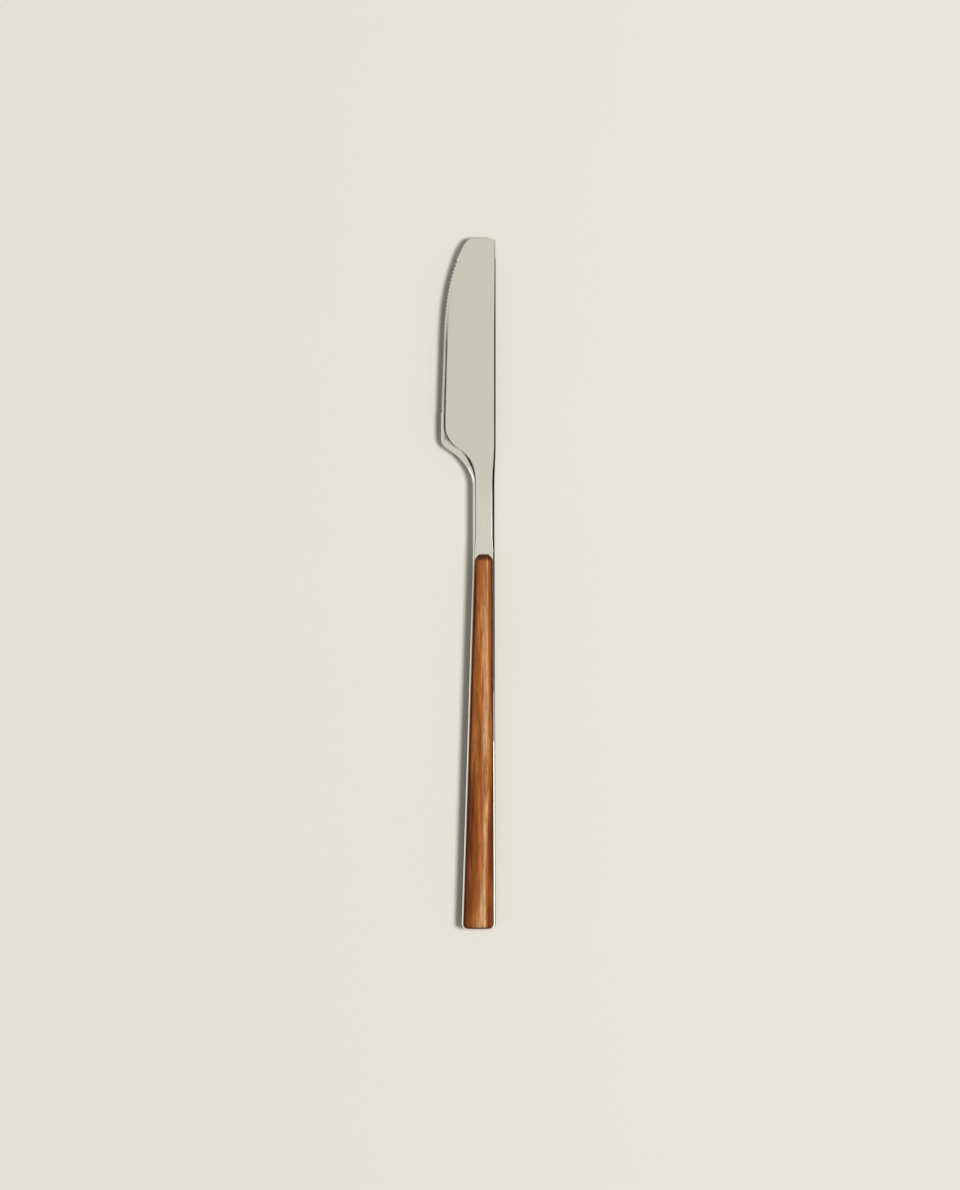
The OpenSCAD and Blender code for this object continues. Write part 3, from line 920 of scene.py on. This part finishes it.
@dataclass(frozen=True)
class Knife:
    """The whole knife: the steel blank, its two scales, and the pins and adhesive that hold them."""

    blank: Blank = field(default_factory=Blank)
    scale: Scale = field(default_factory=Scale)
    pins: Pins = field(default_factory=Pins)

    def origin(self) -> Vector:
        """The blank's own origin in the shared frame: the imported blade's back, its butt and its mid-plane."""
        low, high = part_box("blade_and_tang")
        return Vector((high.x, low.y, (low.z + high.z) / 2))

    def piece(
        self,
        name: str,
        rings: Sequence[Ring],
        rows: Sequence[CutRow],
        material: bpy.types.Material,
        node: str,
        slot: str,
    ) -> bpy.types.Object:
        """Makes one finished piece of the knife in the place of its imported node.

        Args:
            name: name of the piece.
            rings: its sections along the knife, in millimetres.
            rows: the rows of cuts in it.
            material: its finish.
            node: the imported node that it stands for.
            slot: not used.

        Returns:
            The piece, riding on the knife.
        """
        origin = self.origin()
        piece = bpy.data.objects.new(name, closed_loft(name, [[origin + p * MM for p in ring] for ring in rings]))
        bpy.context.scene.collection.objects.link(piece)
        for row in rows:
            row.cut(piece, material)
        piece.data.shade_smooth()
        piece.data.set_sharp_from_angle(angle=CRISP_ANGLE)
        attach(piece, ROOT)
        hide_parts(node)
        LOG.info("%s: %d faces in place of %s", name, len(piece.data.polygons), node)
        return piece

    def build_blank(self, material: bpy.types.Material) -> bpy.types.Object:
        """Makes the blade, neck and tang, with its pin holes and its toothed edge."""
        blank, origin = self.blank, self.origin()
        holes = self.pins.row(blank, self.scale.start(blank), origin, 0, 2 * blank.tang_t)
        rings = [blank.section(p.x, p.y) for p in blank.outline()]
        rows = [holes, blank.tooth_row(origin)]
        return self.piece("blade_neck_and_tang", rings, rows, material, "blade_and_tang", "polished_steel")

    def build_scale(self, face: Face, material: bpy.types.Material) -> bpy.types.Object:
        """Makes the scale on one side of the tang, with its blind pin holes.

        Args:
            face: the side of the tang.
            material: its finish.

        Returns:
            The scale.
        """
        side = face.name.lower()
        depth = self.pins.bite + self.pins.clearance
        level = self.scale.seat(self.blank) + self.pins.level_share * depth
        height = 2 * (1 - self.pins.level_share) * depth
        holes = self.pins.row(self.blank, self.scale.start(self.blank), self.origin(), face.value * level, height)
        rings = self.scale.rings(self.blank, face)
        return self.piece(f"{side}_handle_scale", rings, [holes], material, f"{side}_scale", "oiled_wood")

    def dress(self, node: str, material: bpy.types.Material) -> None:
        """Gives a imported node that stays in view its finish.

        Args:
            node: name of the node.
            material: its finish.
        """
        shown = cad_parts[node]
        shown.data.materials.clear()
        shown.data.materials.append(material)
        LOG.info("%s: dressed in %s", node, material.name)


@dataclass(frozen=True)
class Card:
    """A flat card that the gloss of the knife mirrors, as two opposite corners in metres and the light it gives off."""

    name: str
    low: tuple[float, float, float]
    high: tuple[float, float, float]
    glow: float = 0.0
    colour: str = "16130F"

    def build(self) -> None:
        """Makes the card. It shows in reflections alone: the camera doesn't see it, and it takes no light away."""
        (x0, y0, z0), (x1, y1, z1) = self.low, self.high
        corners = [(x0, y0, z0), (x0, y1, z0), (x1, y1, z1), (x1, y0, z1)]
        mesh = bpy.data.meshes.new(self.name)
        mesh.from_pydata(corners, [], [(0, 1, 2, 3)])
        mesh.materials.append(Matte(self.name, self.colour, self.glow).material())
        card = bpy.data.objects.new(self.name, mesh)
        bpy.context.scene.collection.objects.link(card)
        card.visible_camera = False
        card.visible_diffuse = False
        card.visible_shadow = False


@dataclass(frozen=True)
class Lamp:
    """A soft box that faces the knife. Lengths in metres, angle in degrees, power in watts."""

    name: str
    lean: float
    distance: float
    size: tuple[float, float]
    power: float

    def build(self) -> None:
        """Hangs the lamp on the side of the knife's back, and keeps it out of the reflections on the knife."""
        away = Vector((math.sin(math.radians(self.lean)), 0, math.cos(math.radians(self.lean))))
        light = bpy.data.lights.new(self.name, "AREA")
        light.shape = "RECTANGLE"
        light.size, light.size_y = self.size
        light.energy = self.power
        lamp = bpy.data.objects.new(self.name, light)
        lamp.location = away * self.distance
        lamp.rotation_euler = Vector((0, 0, 1)).rotation_difference(away).to_euler()
        lamp.visible_glossy = False
        bpy.context.scene.collection.objects.link(lamp)


@dataclass(frozen=True)
class Studio:
    """Floor, lamp, cards, surroundings and camera. Lengths in metres, those of camera and picture in mm and pixels."""

    # The photograph: its size, and where the line of the back and the end of the tip lie in it
    image_px: tuple[int, int] = (960, 1190)
    back_px: float = 495.6
    tip_px: float = 239.3
    mm_per_px: float = 0.26
    # Lens, and the camera's lean in degrees from straight above towards the cutting edge and towards the tip
    lens: float = 200.0
    sensor: float = 36.0
    lean_to_edge: float = 2.5
    lean_to_tip: float = 4.0
    # Surroundings
    pale: str = "E5E3D7"
    fill_colour: str = "FFFFFF"
    fill: float = 0.3
    floor_size: float = 12.0
    key: Lamp = Lamp("key_box", 20, 2.5, (0.625, 0.625), 48.0)
    # Dark cards draw lines on the steel, dim ones on the floor shade its sides, glowing ones light wood and rims
    cards: tuple[Card, ...] = (
        Card("belly_side_card", (-0.36, 0.03, 0.85), (-0.16, 0.058, 0.85)),
        Card("edge_side_card", (-0.46, -0.04, 0.85), (-0.1, 0.03, 0.85)),
        Card("heel_side_card", (-0.34, -0.085, 0.85), (-0.15, -0.04, 0.85)),
        Card("throat_side_card", (-0.15, -0.065, 0.85), (-0.06, -0.022, 0.85)),
        Card("back_side_card", (0.5, -0.07, 0.0), (0.5, 0.072, 1.2)),
        Card("back_rim_card", (0.0068, -0.028, 0.0082), (0.0092, 0.0085, 0.0082)),
        Card("back_rim_end_card", (0.0068, -0.041, 0.0082), (0.0092, -0.028, 0.0082), 0.6),
        Card("back_side_floor_card", (0.0078, -0.095, 0.0003), (0.5, 0.085, 0.0003), 0.1),
        Card("edge_side_floor_card", (-0.5, 0.03, 0.0003), (-0.0078, 0.095, 0.0003), 0.1),
        Card("handle_side_floor_card", (-0.3, -0.095, 0.0003), (-0.0023, 0.005, 0.0003), 0.1),
        Card("handle_side_card", (-0.5, -0.25, 0.03), (-0.5, -0.03, 0.35), 1.5),
        Card("handle_card", (0.139, -0.75, 0.99), (0.41, -0.05, 0.864), 4.0),
    )

    def build_floor(self) -> None:
        """Lays the pale floor that the knife lies on."""
        half = self.floor_size / 2
        mesh = bpy.data.meshes.new("floor")
        mesh.from_pydata([(-half, -half, 0), (half, -half, 0), (half, half, 0), (-half, half, 0)], [], [(0, 1, 2, 3)])
        mesh.materials.append(Matte("pale_paper", self.pale).material())
        floor = bpy.data.objects.new("floor", mesh)
        bpy.context.scene.collection.objects.link(floor)

    def build_surroundings(self) -> None:
        """Sets the even light from all round, which the camera and the polished steel see as a pale room."""
        world = bpy.data.worlds.new("pale_room")
        world.use_nodes = True
        tree = world.node_tree
        tree.nodes.clear()
        path = add_node(tree, "ShaderNodeLightPath").outputs
        seen = add_node(tree, "ShaderNodeMath", {"operation": "MAXIMUM"}, {
            0: path["Is Camera Ray"], 1: path["Is Glossy Ray"]})
        seen = add_node(tree, "ShaderNodeMath", {"operation": "MAXIMUM"}, {
            0: seen.outputs[0], 1: path["Is Transmission Ray"]})
        fill = add_node(tree, "ShaderNodeBackground", inputs={
            "Color": linear(self.fill_colour), "Strength": self.fill})
        room = add_node(tree, "ShaderNodeBackground", inputs={"Color": linear(self.pale), "Strength": 1})
        light = add_node(tree, "ShaderNodeMixShader", inputs={
            0: seen.outputs[0], 1: fill.outputs[0], 2: room.outputs[0]})
        add_node(tree, "ShaderNodeOutputWorld", inputs={"Surface": light.outputs[0]})
        bpy.context.scene.world = world

    def build_camera(self, target: Vector) -> None:
        """Sets up the camera of the photograph: a long lens, almost straight above the knife.

        Args:
            target: the point in the middle of the picture.
        """
        lean = Vector((-math.tan(math.radians(self.lean_to_edge)), math.tan(math.radians(self.lean_to_tip)), 1))
        away = lean.normalized()
        right = Vector((0, 1, 0)).cross(away).normalized()
        turned = Matrix((right, away.cross(right), away)).transposed().to_4x4()
        distance = self.image_px[1] * self.mm_per_px * MM * self.lens / self.sensor
        data = bpy.data.cameras.new("camera")
        data.lens = self.lens
        data.sensor_width = self.sensor
        camera = bpy.data.objects.new("camera", data)
        camera.matrix_world = Matrix.Translation(target + away * distance) @ turned
        bpy.context.scene.collection.objects.link(camera)
        bpy.context.scene.camera = camera

    def build(self, knife: Knife) -> None:
        """Builds the whole studio round a knife.

        Args:
            knife: the knife that it shows.
        """
        origin = knife.origin()
        across = (self.image_px[0] / 2 - self.back_px) * self.mm_per_px
        along = knife.blank.length - (self.image_px[1] / 2 - self.tip_px) * self.mm_per_px
        self.build_floor()
        self.build_surroundings()
        self.key.build()
        for card in self.cards:
            card.build()
        self.build_camera(origin + Vector((across, along, 0)) * MM)
        bpy.context.scene.view_settings.view_transform = "Standard"


def main() -> None:
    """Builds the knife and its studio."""
    logging.basicConfig(level=logging.INFO, format="%(name)s: %(message)s")
    knife = Knife()
    wood = OiledWood().material()
    epoxy = CuredAdhesive().material()
    knife.build_blank(PolishedSteel().material())
    for face in Face:
        knife.build_scale(face, wood)
        knife.dress(f"{face.name.lower()}_bond_film", epoxy)
    knife.dress("scale_pins", DrawnSteel().material())
    Studio().build(knife)


if __name__ == "__main__":
    main()
